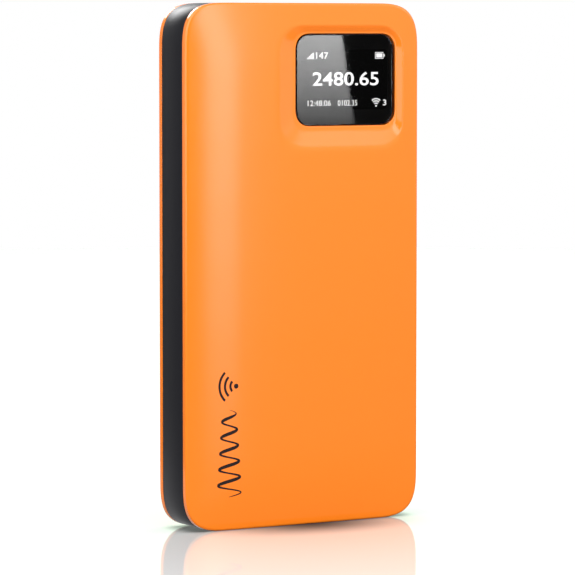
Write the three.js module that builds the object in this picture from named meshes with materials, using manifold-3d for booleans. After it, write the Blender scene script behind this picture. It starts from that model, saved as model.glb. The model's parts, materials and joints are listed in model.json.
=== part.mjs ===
// Mobile hotspot: a pocket battery router with a small display, standing upright on its lower edge.
// Millimetres. The origin is at the centre of the lower edge. +X is the right side seen from the
// display, the display faces -Y, and +Z runs up to the top edge.
import * as THREE from 'three';
import { mergeVertices } from 'three/addons/utils/BufferGeometryUtils.js';
import Module from 'manifold-3d';

const wasm = await Module();
wasm.setup();

// ---------------------------------------------------------------- driving dimensions

const WIDTH = 66;
const HEIGHT = 128;
const THICKNESS = 14.4;
const CORNER = 12.5;
const CORNER_POWER = 3.3;
const CORNER_LOSS = 0.45;
const CORNER_STEPS = 6;

const SEAM_Y = 5.15;
const BAND_Y = 5.05;
const SIDE_WALL = 1.2;
const EDGE_RUN = 0.6;
const EDGE_RISE = 0.35;
const EDGE_STEPS = 3;
const CROWN_RUN = 16;
const CROWN_STEPS = 5;
const CROWN_RISE = THICKNESS / 2 - SEAM_Y - SIDE_WALL - EDGE_RISE;
const SHELL_WALL = 1.5;
const SHELL_RIM = 3.5;
const LIP_OUTSET = 1.75;
const LIP_WALL = 0.6;
const FRONT_LIP = 0.35;
const REAR_LIP = 0.9;

const BAND_WALL = 1.6;
const WEB_FRONT = -4.7;
const WEB_REAR = -4.0;

const WINDOW = { x: 12.3, z: 109.24, width: 28.4, height: 22.4, corner: 4.2 };
const SCOOP = { x: 10.4, z: 107.15, width: 36.8, height: 31.6, corner: 8 };
const SCOOP_FLOOR = -6.3;
const LENS_FRONT = -6.25;
const LENS_REAR = -5.35;
const LENS_GAP = 0.12;
const LEDGE_FRONT = -5.05;
const LEDGE_REAR = -4.4;
const LEDGE_OPENING = { width: 25.8, height: 15.8, corner: 1 };
const LEDGE_WALL = 1.2;

const LCD = { x: 12.3, z: 109.3, width: 31, height: 17.6 };
const LCD_FRONT = -3.9;
const LCD_REAR = -2.7;
const BRACKET_REAR = -1.4;
const SHEET_METAL = 0.25;

const BOARD_FRONT = 1.6;
const BOARD_REAR = 2.6;
const BOARD = { left: -29, right: 29, bottom: 86, top: 124 };
const SUB_FRONT = -2.6;
const SUB_REAR = -1.7;
const FACE_GAP = 0.05;

const SIM = { x: -15.5, y: 0.8, width: 12.2, thickness: 0.8, bottom: 104.5 };
const BUTTON = { y: 0.8, z: 104, length: 12, width: 2.6 };
const RESET = { x: 7, y: 0.75 };
const USB = { width: 8.94, height: 3.2, wall: 0.3, mouth: 0.35, back: 8.2 };

const SCREW_HEAD_RADIUS = 1.4;
const SCREW_HEAD_HEIGHT = 0.6;
const SCREW_SHANK_RADIUS = 0.65;
const SCREW_HOLE_RADIUS = 0.9;
const SHELL_SCREW_X = 29.3;
const SHELL_SCREW_HEIGHTS = [8, 50, 92];
const BOARD_SCREWS = [[-26.5, 89], [26.5, 89], [-26.5, 121], [-6, 121]];
const SUB_SCREWS = [[-23, 7], [23, 7]];
const SNAP_HEIGHTS = [24, 54, 82];

// ---------------------------------------------------------------- solids from three.js geometry

function solidFrom(geometry) {
  const bare = geometry.clone();
  bare.deleteAttribute('normal');
  bare.deleteAttribute('uv');
  const merged = mergeVertices(bare, 1e-5);
  const vertProperties = new Float32Array(merged.attributes.position.array);
  const triVerts = new Uint32Array(merged.index.array);
  return new wasm.Manifold(new wasm.Mesh({ numProp: 3, vertProperties, triVerts }));
}

function geometryFrom(solid) {
  const mesh = solid.getMesh();
  const geometry = new THREE.BufferGeometry();
  geometry.setAttribute('position', new THREE.BufferAttribute(mesh.vertProperties, 3));
  geometry.setIndex(new THREE.BufferAttribute(mesh.triVerts, 1));
  geometry.computeVertexNormals();
  return geometry;
}

// A box between two corners.
function box([x0, y0, z0], [x1, y1, z1]) {
  const geometry = new THREE.BoxGeometry(x1 - x0, y1 - y0, z1 - z0);
  geometry.translate((x0 + x1) / 2, (y0 + y1) / 2, (z0 + z1) / 2);
  return solidFrom(geometry);
}

// A round rod from one point to another.
function rod(from, to, radius, sides = 16) {
  const start = new THREE.Vector3(...from);
  const run = new THREE.Vector3(...to).sub(start);
  const geometry = new THREE.CylinderGeometry(radius, radius, run.length(), sides);
  const turn = new THREE.Quaternion();
  turn.setFromUnitVectors(new THREE.Vector3(0, 1, 0), run.clone().normalize());
  geometry.applyQuaternion(turn);
  const middle = start.addScaledVector(run, 0.5);
  geometry.translate(middle.x, middle.y, middle.z);
  return solidFrom(geometry);
}

// A closed outline with superellipse corners, counter-clockwise, as [across, up] pairs.
function outline({ x = 0, z = HEIGHT / 2, width, height, corner, power = CORNER_POWER }) {
  const points = [];
  const signs = [[1, 1], [-1, 1], [-1, -1], [1, -1]];
  signs.forEach(([signX, signZ], quarter) => {
    for (let step = 0; step <= CORNER_STEPS; step += 1) {
      const along = quarter % 2 === 0 ? step : CORNER_STEPS - step;
      const angle = (along / CORNER_STEPS) * (Math.PI / 2);
      const across = width / 2 - corner + corner * Math.cos(angle) ** (2 / power);
      const up = height / 2 - corner + corner * Math.abs(Math.sin(angle)) ** (2 / power);
      points.push([x + signX * across, z + signZ * up]);
    }
  });
  return points;
}

// The body's own outline, moved in by an inset.
function bodyOutline(inset) {
  return outline({
    width: WIDTH - 2 * inset,
    height: HEIGHT - 2 * inset,
    corner: CORNER - CORNER_LOSS * inset,
  });
}

// An outline in the plane of the display, made a plate between two depths.
function plate(points, yFront, yRear) {
  const shape = new THREE.Shape(points.map(([x, z]) => new THREE.Vector2(x, z)));
  const geometry = new THREE.ExtrudeGeometry(shape, { depth: yRear - yFront, bevelEnabled: false });
  geometry.rotateX(Math.PI / 2);
  geometry.translate(0, yRear, 0);
  return solidFrom(geometry);
}

// A rounded outline seen from above, given [x, y] centre, made a column between two heights.
function column({ x, y, width, height, corner }, zBottom, zTop) {
  const points = outline({ x, z: y, width, height, corner, power: 2 });
  const shape = new THREE.Shape(points.map(([across, up]) => new THREE.Vector2(across, up)));
  const geometry = new THREE.ExtrudeGeometry(shape, { depth: zTop - zBottom, bevelEnabled: false });
  geometry.translate(0, 0, zBottom);
  return solidFrom(geometry);
}

// A rounded outline seen from the right side, made a block between two x values.
function sideBlock({ y, z, width, height, corner }, xFrom, xTo) {
  const points = outline({ x: y, z, width, height, corner, power: 2 });
  const shape = new THREE.Shape(points.map(([across, up]) => new THREE.Vector2(across, up)));
  const geometry = new THREE.ExtrudeGeometry(shape, { depth: xTo - xFrom, bevelEnabled: false });
  const turn = new THREE.Matrix4().makeBasis(
    new THREE.Vector3(0, 1, 0),
    new THREE.Vector3(0, 0, 1),
    new THREE.Vector3(1, 0, 0),
  );
  geometry.applyMatrix4(turn);
  geometry.translate(xFrom, 0, 0);
  return solidFrom(geometry);
}

// A solid through a stack of outlines that have the same number of points: [points, y] pairs.
function loft(levels) {
  const count = levels[0][0].length;
  const positions = [];
  const faces = [];
  for (const [points, y] of levels) {
    for (const [x, z] of points) positions.push(x, y, z);
  }
  for (let level = 0; level + 1 < levels.length; level += 1) {
    for (let i = 0; i < count; i += 1) {
      const next = (i + 1) % count;
      const a = level * count + i;
      const b = level * count + next;
      faces.push(a, b, b + count, a, b + count, a + count);
    }
  }
  const capEnd = (level, order) => {
    const [points, y] = levels[level];
    const sum = points.reduce(([sx, sz], [x, z]) => [sx + x, sz + z], [0, 0]);
    const centre = positions.length / 3;
    positions.push(sum[0] / count, y, sum[1] / count);
    for (let i = 0; i < count; i += 1) {
      const pair = [level * count + i, level * count + ((i + 1) % count)];
      faces.push(centre, pair[order], pair[1 - order]);
    }
  };
  capEnd(0, 1);
  capEnd(levels.length - 1, 0);
  const goesToRear = levels[levels.length - 1][1] > levels[0][1];
  if (goesToRear) {
    for (let i = 0; i < faces.length; i += 3) [faces[i], faces[i + 1]] = [faces[i + 1], faces[i]];
  }
  const geometry = new THREE.BufferGeometry();
  geometry.setAttribute('position', new THREE.BufferAttribute(new Float32Array(positions), 3));
  geometry.setIndex(faces);
  return solidFrom(geometry);
}

// A flat ribbon: a centre line of [y, z] points with a thickness, as wide in x as it is told.
function ribbon(line, thickness, xFrom, xTo) {
  const left = [];
  const right = [];
  line.forEach(([y, z], i) => {
    const [y0, z0] = line[Math.max(i - 1, 0)];
    const [y1, z1] = line[Math.min(i + 1, line.length - 1)];
    const length = Math.hypot(y1 - y0, z1 - z0);
    const offset = [(-(z1 - z0) / length) * (thickness / 2), ((y1 - y0) / length) * (thickness / 2)];
    left.push(new THREE.Vector2(y + offset[0], z + offset[1]));
    right.unshift(new THREE.Vector2(y - offset[0], z - offset[1]));
  });
  const shape = new THREE.Shape([...left, ...right]);
  const geometry = new THREE.ExtrudeGeometry(shape, { depth: xTo - xFrom, bevelEnabled: false });
  const turn = new THREE.Matrix4().makeBasis(
    new THREE.Vector3(0, 1, 0),
    new THREE.Vector3(0, 0, 1),
    new THREE.Vector3(1, 0, 0),
  );
  geometry.applyMatrix4(turn);
  geometry.translate(xFrom, 0, 0);
  return solidFrom(geometry);
}

// A round wire through points.
function wire(points, diameter, steps) {
  const path = new THREE.CatmullRomCurve3(points.map((p) => new THREE.Vector3(...p)), false, 'centripetal');
  const section = new THREE.Shape();
  const sides = 8;
  for (let i = 0; i < sides; i += 1) {
    const angle = (i / sides) * 2 * Math.PI;
    const place = [(diameter / 2) * Math.cos(angle), (diameter / 2) * Math.sin(angle)];
    if (i === 0) section.moveTo(...place);
    else section.lineTo(...place);
  }
  const geometry = new THREE.ExtrudeGeometry(section, { steps, extrudePath: path });
  return solidFrom(geometry);
}

// ---------------------------------------------------------------- shells and band

// How far the shell's face stands off the seam at a distance in from the edge: a straight side
// wall, a small round edge, then a long shallow crown.
function faceRise(inset) {
  const edge = 1 - Math.min(inset, EDGE_RUN) / EDGE_RUN;
  const crown = 1 - Math.min(inset, CROWN_RUN) / CROWN_RUN;
  return SIDE_WALL + EDGE_RISE * Math.sqrt(1 - edge ** 2) + CROWN_RISE * (1 - crown ** 2);
}

// The crowned plate that each shell starts from. side is -1 for the front and 1 for the rear.
function crown(side) {
  const levels = [[bodyOutline(0), side * SEAM_Y]];
  const insets = [0];
  for (let step = 1; step <= EDGE_STEPS; step += 1) {
    insets.push(EDGE_RUN * (1 - Math.cos((step / EDGE_STEPS) * (Math.PI / 2))));
  }
  for (let step = 1; step <= CROWN_STEPS; step += 1) {
    insets.push(EDGE_RUN + ((CROWN_RUN - EDGE_RUN) * step) / CROWN_STEPS);
  }
  for (const inset of insets) {
    levels.push([bodyOutline(inset), side * (SEAM_Y + faceRise(inset))]);
  }
  return loft(levels);
}

function frontBack(side, near, far) {
  return side < 0 ? [-far, -near] : [near, far];
}

function shellBlank(side, lipDepth) {
  const pocketDepth = THICKNESS / 2 - SHELL_WALL;
  const pocket = plate(bodyOutline(SHELL_RIM), ...frontBack(side, SEAM_Y - 1, pocketDepth));
  const lipReach = frontBack(side, SEAM_Y - lipDepth, SEAM_Y + 0.2);
  const lip = plate(bodyOutline(LIP_OUTSET), ...lipReach)
    .subtract(plate(bodyOutline(LIP_OUTSET + LIP_WALL), -THICKNESS, THICKNESS));
  return crown(side).add(lip).subtract(pocket);
}

function roundedRectangle(place, growth) {
  return outline({
    ...place,
    width: place.width + 2 * growth,
    height: place.height + 2 * growth,
    corner: place.corner + growth,
    power: 2.4,
  });
}

function frontShell() {
  const ledgePlace = { ...WINDOW, ...LEDGE_OPENING };
  const boss = plate(roundedRectangle(WINDOW, LEDGE_WALL), SCOOP_FLOOR, LEDGE_REAR);
  const scoop = loft([
    [roundedRectangle(SCOOP, 0.9), -THICKNESS / 2 - 0.25],
    [roundedRectangle(SCOOP, 0), -THICKNESS / 2],
    [roundedRectangle(WINDOW, 2), SCOOP_FLOOR - 0.22],
    [roundedRectangle(WINDOW, 0.3), SCOOP_FLOOR],
  ]);
  const lensPocket = plate(roundedRectangle(WINDOW, LENS_GAP), SCOOP_FLOOR - 0.1, LEDGE_FRONT);
  const view = plate(roundedRectangle(ledgePlace, 0), -THICKNESS, 0);
  let shell = shellBlank(-1, FRONT_LIP).add(boss);
  const bossTop = WEB_FRONT - FACE_GAP;
  for (const x of [-SHELL_SCREW_X, SHELL_SCREW_X]) {
    for (const z of SHELL_SCREW_HEIGHTS) {
      shell = shell.add(rod([x, -5.9, z], [x, bossTop, z], 1.6));
      shell = shell.subtract(rod([x, -6, z], [x, 0, z], SCREW_HOLE_RADIUS));
    }
  }
  return shell.subtract(scoop).subtract(lensPocket).subtract(view);
}

function rearShell() {
  let shell = shellBlank(1, REAR_LIP);
  for (const side of [-1, 1]) {
    for (const z of SNAP_HEIGHTS) {
      const tab = box([30.35, 3.4, z - 3], [31.15, SEAM_Y + 0.2, z + 3]);
      const bump = box([31.1, 3.5, z - 2.5], [31.9, 4.2, z + 2.5]);
      const snap = tab.add(bump);
      shell = shell.add(side < 0 ? snap.mirror([1, 0, 0]) : snap);
    }
  }
  for (const z of [30, 50, 70]) {
    shell = shell.add(box([-20, 5.1, z - 0.4], [20, 5.8, z + 0.4]));
  }
  return shell;
}

function midFrame() {
  const inner = bodyOutline(BAND_WALL);
  let frame = plate(bodyOutline(0), -BAND_Y, BAND_Y).subtract(plate(inner, -THICKNESS, THICKNESS));
  const webOutline = bodyOutline(BAND_WALL - 0.2);
  const displayHole = plate(roundedRectangle(WINDOW, LEDGE_WALL + 0.5), WEB_FRONT - 1, WEB_REAR + 1);
  frame = frame.add(plate(webOutline, WEB_FRONT, WEB_REAR).subtract(displayHole));
  frame = frame.add(box([-26, WEB_REAR - 0.1, 84.6], [26, 0.8, 85.4]));
  frame = frame.add(box([-26, WEB_REAR - 0.1, 12.2], [26, -2, 12.9]));
  for (const x of [-SHELL_SCREW_X, SHELL_SCREW_X]) {
    for (const z of SHELL_SCREW_HEIGHTS) {
      frame = frame.subtract(rod([x, WEB_FRONT - 1, z], [x, WEB_REAR + 1, z], SCREW_HOLE_RADIUS));
    }
  }
  for (const [x, z] of BOARD_SCREWS) {
    frame = frame.add(rod([x, WEB_REAR - 0.1, z], [x, BOARD_FRONT - FACE_GAP, z], 1.7));
    frame = frame.subtract(rod([x, -2, z], [x, BOARD_FRONT, z], SCREW_HOLE_RADIUS));
  }
  for (const [x, z] of SUB_SCREWS) {
    frame = frame.add(rod([x, WEB_REAR - 0.1, z], [x, SUB_FRONT - FACE_GAP, z], 1.7));
    frame = frame.subtract(rod([x, WEB_REAR + 0.1, z], [x, SUB_FRONT, z], SCREW_HOLE_RADIUS));
  }
  for (const side of [-1, 1]) {
    for (const z of SNAP_HEIGHTS) {
      const notch = box([31, 3.3, z - 2.8], [32.2, 4.4, z + 2.8]);
      frame = frame.subtract(side < 0 ? notch.mirror([1, 0, 0]) : notch);
    }
  }
  const usbSlot = column({ x: 0, y: 0, width: 9.4, height: 3.66, corner: 1.8 }, -1, 2);
  const simSlot = column({ x: SIM.x, y: SIM.y, width: 15.1, height: 2.7, corner: 1.3 }, 125, 129);
  const buttonSlot = sideBlock(
    { y: BUTTON.y, z: BUTTON.z, width: BUTTON.width + 0.5, height: BUTTON.length + 0.5, corner: 1.5 },
    30,
    34,
  );
  const dish = new THREE.SphereGeometry(1, 24, 12);
  dish.scale(0.45, 2.6, 8.6);
  dish.translate(WIDTH / 2, BUTTON.y, BUTTON.z);
  const pinhole = rod([RESET.x, RESET.y, 125], [RESET.x, RESET.y, 129], 0.5);
  return frame
    .subtract(usbSlot)
    .subtract(simSlot)
    .subtract(buttonSlot)
    .subtract(solidFrom(dish))
    .subtract(pinhole);
}

// ---------------------------------------------------------------- display

function displayWindow() {
  const edge = 0.15;
  return loft([
    [roundedRectangle(WINDOW, 0), LENS_REAR],
    [roundedRectangle(WINDOW, 0), LENS_FRONT + edge],
    [roundedRectangle(WINDOW, -edge), LENS_FRONT],
  ]);
}

function frameOf(outer, inner, yFront, yRear) {
  return plate(outer, yFront, yRear).subtract(plate(inner, yFront - 1, yRear + 1));
}

function rectangle({ x, z, width, height }, growth = 0) {
  const across = width / 2 + growth;
  const up = height / 2 + growth;
  return [[x + across, z - up], [x + across, z + up], [x - across, z + up], [x - across, z - up]];
}

function windowAdhesive() {
  const inner = roundedRectangle({ ...WINDOW, ...LEDGE_OPENING }, 0.2);
  return frameOf(roundedRectangle(WINDOW, -0.2), inner, LENS_REAR + FACE_GAP, LEDGE_FRONT - FACE_GAP);
}

function lcdFoamGasket() {
  const inner = rectangle({ ...LCD, width: 26.4, height: 15.8 });
  return frameOf(rectangle(LCD, -0.1), inner, LEDGE_REAR + FACE_GAP, LCD_FRONT - FACE_GAP);
}

function lcdPanel() {
  const glass = plate(rectangle(LCD), LCD_FRONT + 0.6, LCD_REAR);
  const filter = plate(rectangle(LCD, -0.8), LCD_FRONT, LCD_FRONT + 0.7);
  return glass.add(filter);
}

function backlightUnit() {
  return plate(rectangle(LCD), LCD_REAR + FACE_GAP, BRACKET_REAR - SHEET_METAL - FACE_GAP);
}

function lcdBracket() {
  const gap = 0.15;
  const front = WEB_REAR + FACE_GAP;
  const tray = plate(rectangle(LCD, gap + SHEET_METAL), front, BRACKET_REAR);
  const space = plate(rectangle(LCD, gap), front - 1, BRACKET_REAR - SHEET_METAL);
  const flexNotch = box([7, -6, 98], [17.6, -2.2, 101]);
  const ears = box([-6, front, 105], [30.6, front + SHEET_METAL, 113]);
  const earSpace = plate(rectangle(LCD, gap), front - 1, front + 1);
  return tray.subtract(space).subtract(flexNotch).add(ears.subtract(earSpace));
}

function lcdFlex() {
  const line = [[-3.1, 100.4], [-3.1, 98.9], [-2.7, 98.2], [-0.5, 96.7], [0.15, 96], [0.15, 93.8]];
  return ribbon(line, 0.2, 7.5, 17);
}

// ---------------------------------------------------------------- boards and what is on them

function boardHoles(board, places, yFront, yRear) {
  let drilled = board;
  for (const [x, z] of places) {
    drilled = drilled.subtract(rod([x, yFront - 1, z], [x, yRear + 1, z], SCREW_HOLE_RADIUS));
  }
  return drilled;
}

function mainBoard() {
  const place = {
    x: (BOARD.left + BOARD.right) / 2,
    z: (BOARD.bottom + BOARD.top) / 2,
    width: BOARD.right - BOARD.left,
    height: BOARD.top - BOARD.bottom,
    corner: 1.5,
  };
  const board = plate(outline({ ...place, power: 2 }), BOARD_FRONT, BOARD_REAR);
  return boardHoles(board, BOARD_SCREWS, BOARD_FRONT, BOARD_REAR);
}

// A pressed can, open towards the board it sits on.
function shieldCan(xFrom, xTo, zFrom, zTo, height) {
  const base = BOARD_REAR + FACE_GAP;
  const can = box([xFrom, base, zFrom], [xTo, base + height, zTo]);
  const wall = SHEET_METAL;
  return can.subtract(box([xFrom + wall, base - 1, zFrom + wall], [xTo - wall, base + height - wall, zTo - wall]));
}

function thermalPad() {
  const rear = BOARD_REAR + FACE_GAP + 1.95 + FACE_GAP;
  return box([-22, rear, 96], [-4, THICKNESS / 2 - SHELL_WALL - 0.1, 115]);
}

function simSocket() {
  const half = SIM.width / 2;
  const body = box([SIM.x - half - 1, 0.05, SIM.bottom - 1], [SIM.x + half + 1, 1.55, 123]);
  const space = box([SIM.x - half - 0.3, 0.3, SIM.bottom - 0.3], [SIM.x + half + 0.3, 1.3, 124]);
  const contacts = box([SIM.x - 4, 1, SIM.bottom + 2], [SIM.x + 4, 2, SIM.bottom + 12]);
  return body.subtract(space).subtract(contacts);
}

function simTray() {
  const half = SIM.width / 2;
  const halfThick = SIM.thickness / 2;
  const top = HEIGHT - 0.1;
  const face = column({ x: SIM.x, y: SIM.y, width: 14.8, height: 2.4, corner: 1.15 }, HEIGHT - BAND_WALL, top);
  const nailGroove = rod([SIM.x - 3, SIM.y - 1.1, top + 0.05], [SIM.x + 3, SIM.y - 1.1, top + 0.05], 0.5, 12);
  const carrier = box([SIM.x - half, SIM.y - halfThick, SIM.bottom], [SIM.x + half, SIM.y + halfThick, 127]);
  const cardBed = box([SIM.x - 4.5, SIM.y - 2, SIM.bottom + 2], [SIM.x + 4.5, SIM.y + 0.2, SIM.bottom + 14.4]);
  const window = box([SIM.x - 3.6, SIM.y - 2, SIM.bottom + 3], [SIM.x + 3.6, SIM.y + 2, SIM.bottom + 13.4]);
  return face.add(carrier).subtract(nailGroove).subtract(cardBed).subtract(window);
}

function batteryHeader() {
  const base = BOARD_REAR + FACE_GAP;
  const body = box([-8.6, base, 87.6], [0.6, 5.05, 91.4]);
  return body.subtract(box([-7.9, 2.9, 87], [-0.1, 4.8, 90.8]));
}

function batteryPlug() {
  const body = box([-7.6, 3.15, 84.9], [-0.4, 4.6, 90.5]);
  return body.subtract(box([-7, 4.3, 85.6], [-1, 5, 87.2]));
}

function batteryLead(x) {
  return wire([[x, 0.75, 82], [x, 2.4, 82.1], [x, 3.5, 82.9], [x, 3.85, 84.8]], 1, 10);
}

function powerSwitchBody() {
  const body = box([27, 0.05, 101.4], [29.55, 1.55, 106.6]);
  return body.subtract(rod([28.6, BUTTON.y, BUTTON.z], [30, BUTTON.y, BUTTON.z], 0.65));
}

function powerButton() {
  const cap = sideBlock(
    { y: BUTTON.y, z: BUTTON.z, width: BUTTON.width, height: BUTTON.length, corner: 1.25 },
    31,
    WIDTH / 2 - 0.25,
  );
  const flange = box([30.5, BUTTON.y - 1.7, BUTTON.z - 7.4], [31.15, BUTTON.y + 1.7, BUTTON.z + 7.4]);
  const pip = rod([30.15, BUTTON.y, BUTTON.z], [30.6, BUTTON.y, BUTTON.z], 0.6);
  return cap.add(flange).add(pip);
}

function resetSwitchBody() {
  const body = box([RESET.x - 2, -0.05, 119.4], [RESET.x + 2, 1.55, 123.4]);
  return body.subtract(rod([RESET.x, RESET.y, 122.3], [RESET.x, RESET.y, 124], 0.65));
}

// ---------------------------------------------------------------- lower board and port

function subBoard() {
  const board = plate(outline({ x: 0, z: 6.9, width: 52, height: 9.2, corner: 1, power: 2 }), SUB_FRONT, SUB_REAR);
  return boardHoles(board, SUB_SCREWS, SUB_FRONT, SUB_REAR);
}

function usbOutline(inset) {
  return {
    x: 0,
    y: 0,
    width: USB.width - 2 * inset,
    height: USB.height - 2 * inset,
    corner: USB.height / 2 - inset - 0.02,
  };
}

function usbShell() {
  const tube = column(usbOutline(0), USB.mouth, USB.back);
  return tube.subtract(column(usbOutline(USB.wall), USB.mouth - 1, USB.back + 1));
}

function usbTongue() {
  const block = column(usbOutline(USB.wall + 0.08), 6.3, USB.back - 0.1);
  return block.add(box([-3.35, -0.35, 1.1], [3.35, 0.35, 6.6]));
}

function subBoardFlex() {
  const line = [[-1.25, 8.6], [-1.25, 13], [-0.9, 13.4], [4.2, 13.4], [4.62, 13.8], [4.62, 91]];
  return ribbon(line, 0.2, 6, 14);
}

// ---------------------------------------------------------------- battery and antennas

function batteryCell() {
  const place = { x: 0, z: 47, corner: 2 };
  const levels = [[-3.8, 51.6, 63.6], [-3.2, 54, 66], [3.8, 54, 66], [4.4, 51.6, 63.6]];
  return loft(levels.map(([y, width, height]) => [outline({ ...place, width, height, power: 2 }), y]));
}

function batteryProtectionBoard() {
  const board = box([-14, -0.4, 80.3], [14, 0.6, 83.9]);
  const chips = [[-11, -7], [7, 11]];
  return chips.reduce((sum, [x0, x1]) => sum.add(box([x0, 0.5, 81], [x1, 1.3, 83.2])), board);
}

function antennaCarrier() {
  let carrier = box([-25, 1.9, 3], [25, 4.95, 11.4]);
  for (const x of [-18.6, -6.2, 6.2, 18.6]) {
    carrier = carrier.subtract(box([x - 5.4, 1, 4], [x + 5.4, 4, 10.4]));
  }
  return carrier;
}

function lteMainAntenna() {
  let sheet = box([-24, 5, 3.9], [24, 5.15, 11]);
  for (let i = 0; i < 9; i += 1) {
    const x = -20 + 5 * i;
    const low = i % 2 === 0;
    sheet = sheet.subtract(box([x - 0.6, 4, low ? 3 : 5.4], [x + 0.6, 6, low ? 9.4 : 12]));
  }
  return sheet;
}

function lteDiversityAntenna() {
  const sheet = box([-31.25, -3, 90], [-31.1, 3.8, 118]);
  return sheet.subtract(box([-32, -1.5, 94], [-30, 5, 96])).subtract(box([-32, -4, 112], [-30, 2.4, 114]));
}

function wifiAntenna() {
  const sheet = box([9, -3.2, 126.15], [21, 4.2, 126.3]);
  return sheet.subtract(box([12, -1.5, 125], [13.5, 5, 127])).subtract(box([17, -4, 125], [18.5, 2.6, 127]));
}

function mainAntennaCoax() {
  const points = [
    [-20.5, -1.15, 9], [-25, -1.15, 9.3], [-28, -1.15, 11], [-28.9, -1.15, 14.5], [-28.9, -1.15, 48],
    [-28.9, -1.15, 84], [-28.9, -0.6, 90], [-28.6, 0.3, 93], [-27.4, 0.85, 94.7], [-25.45, 0.9, 95],
  ];
  return wire(points, 1.1, 44);
}

function diversityAntennaClip() {
  return box([-29, 1.2, 108], [-27.4, 1.55, 110]).add(box([-31.05, 0.9, 108], [-28.4, 1.25, 110]));
}

function wifiAntennaClip() {
  return box([14.8, 1.2, 122.2], [16.8, 1.55, 124]).add(box([14.8, 0.9, 123.4], [16.8, 1.25, 126.1]));
}

// ---------------------------------------------------------------- fasteners

// A pan-head screw with a cross recess. The head sits on y = seat and the shank runs to -Y.
function screw(x, z, seat, length) {
  const headTop = seat + SCREW_HEAD_HEIGHT;
  const head = rod([x, seat, z], [x, headTop, z], SCREW_HEAD_RADIUS, 14);
  const shank = rod([x, seat - length, z], [x, seat + 0.1, z], SCREW_SHANK_RADIUS, 10);
  const slotHalf = 0.17;
  const slotReach = 0.8;
  const slotFloor = headTop - 0.3;
  const across = box([x - slotReach, slotFloor, z - slotHalf], [x + slotReach, headTop + 1, z + slotHalf]);
  const up = box([x - slotHalf, slotFloor, z - slotReach], [x + slotHalf, headTop + 1, z + slotReach]);
  return head.add(shank).subtract(across).subtract(up);
}

// ---------------------------------------------------------------- assembly

const FINISHES = {
  orange_shell: ['#ff9338', 0.45, 0],
  black_band: ['#2a292e', 0.5, 0],
  glass: ['#0b0b0d', 0.08, 0],
  lcd_glass: ['#15171b', 0.15, 0],
  white_plastic: ['#e8e8e6', 0.5, 0],
  black_plastic: ['#1c1c1e', 0.55, 0],
  foam: ['#26262a', 0.95, 0],
  tape: ['#d8d4c4', 0.8, 0],
  steel: ['#b8babd', 0.35, 1],
  solder_mask: ['#14503a', 0.5, 0],
  flex: ['#b5651d', 0.5, 0],
  thermal: ['#7d8ea6', 0.9, 0],
  battery_wrap: ['#3a4a5a', 0.45, 0],
  copper: ['#c98a4a', 0.4, 1],
  gold: ['#d9b45a', 0.35, 1],
  red_wire: ['#b3202a', 0.5, 0],
  black_wire: ['#17171a', 0.5, 0],
  white_wire: ['#e6e4dc', 0.5, 0],
};

const hotspot = new THREE.Group();
hotspot.name = 'mobile_hotspot';

function piece(name, finish, solid) {
  const [color, roughness, metalness] = FINISHES[finish];
  const material = new THREE.MeshStandardMaterial({ color, roughness, metalness });
  const mesh = new THREE.Mesh(geometryFrom(solid), material);
  mesh.name = name;
  hotspot.add(mesh);
}

piece('front_shell', 'orange_shell', frontShell());
piece('rear_shell', 'orange_shell', rearShell());
piece('mid_frame', 'black_band', midFrame());

piece('display_window', 'glass', displayWindow());
piece('window_adhesive', 'foam', windowAdhesive());
piece('lcd_foam_gasket', 'foam', lcdFoamGasket());
piece('lcd_panel', 'lcd_glass', lcdPanel());
piece('backlight_unit', 'white_plastic', backlightUnit());
piece('lcd_bracket', 'steel', lcdBracket());
piece('lcd_flex', 'flex', lcdFlex());

piece('main_board', 'solder_mask', mainBoard());
piece('modem_shield', 'steel', shieldCan(-25, -1, 93, 118, 1.95));
piece('wifi_shield', 'steel', shieldCan(2, 25, 95, 118, 1.95));
piece('thermal_pad', 'thermal', thermalPad());
piece('lcd_connector', 'black_plastic', box([7.3, 0.3, 93.6], [17.2, 1.55, 97]));
piece('main_flex_socket', 'black_plastic', box([5.5, BOARD_REAR + FACE_GAP, 88], [14.5, 4.45, 91]));
piece('battery_header', 'white_plastic', batteryHeader());
piece('battery_plug', 'white_plastic', batteryPlug());
piece('battery_lead_red', 'red_wire', batteryLead(-6.2));
piece('battery_lead_sense', 'white_wire', batteryLead(-4));
piece('battery_lead_black', 'black_wire', batteryLead(-1.8));

piece('sim_socket', 'steel', simSocket());
piece('sim_tray', 'black_band', simTray());
piece('power_switch_body', 'black_plastic', powerSwitchBody());
piece('power_switch_plunger', 'white_plastic', rod([29.15, BUTTON.y, BUTTON.z], [30.1, BUTTON.y, BUTTON.z], 0.45));
piece('power_button', 'black_band', powerButton());
piece('reset_switch_body', 'black_plastic', resetSwitchBody());
piece('reset_switch_plunger', 'white_plastic', rod([RESET.x, RESET.y, 122.8], [RESET.x, RESET.y, 124.4], 0.45));

piece('sub_board', 'solder_mask', subBoard());
piece('sub_flex_socket', 'black_plastic', box([5.5, SUB_REAR + FACE_GAP, 8.4], [14.5, -1.4, 11.3]));
piece('sub_board_flex', 'flex', subBoardFlex());
piece('usb_shell', 'steel', usbShell());
piece('usb_tongue', 'black_plastic', usbTongue());

piece('battery_cell', 'battery_wrap', batteryCell());
piece('battery_protection_board', 'solder_mask', batteryProtectionBoard());
piece('battery_adhesive_left', 'tape', box([-22, WEB_REAR + FACE_GAP, 20], [-12, -3.85, 74]));
piece('battery_adhesive_right', 'tape', box([12, WEB_REAR + FACE_GAP, 20], [22, -3.85, 74]));

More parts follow.
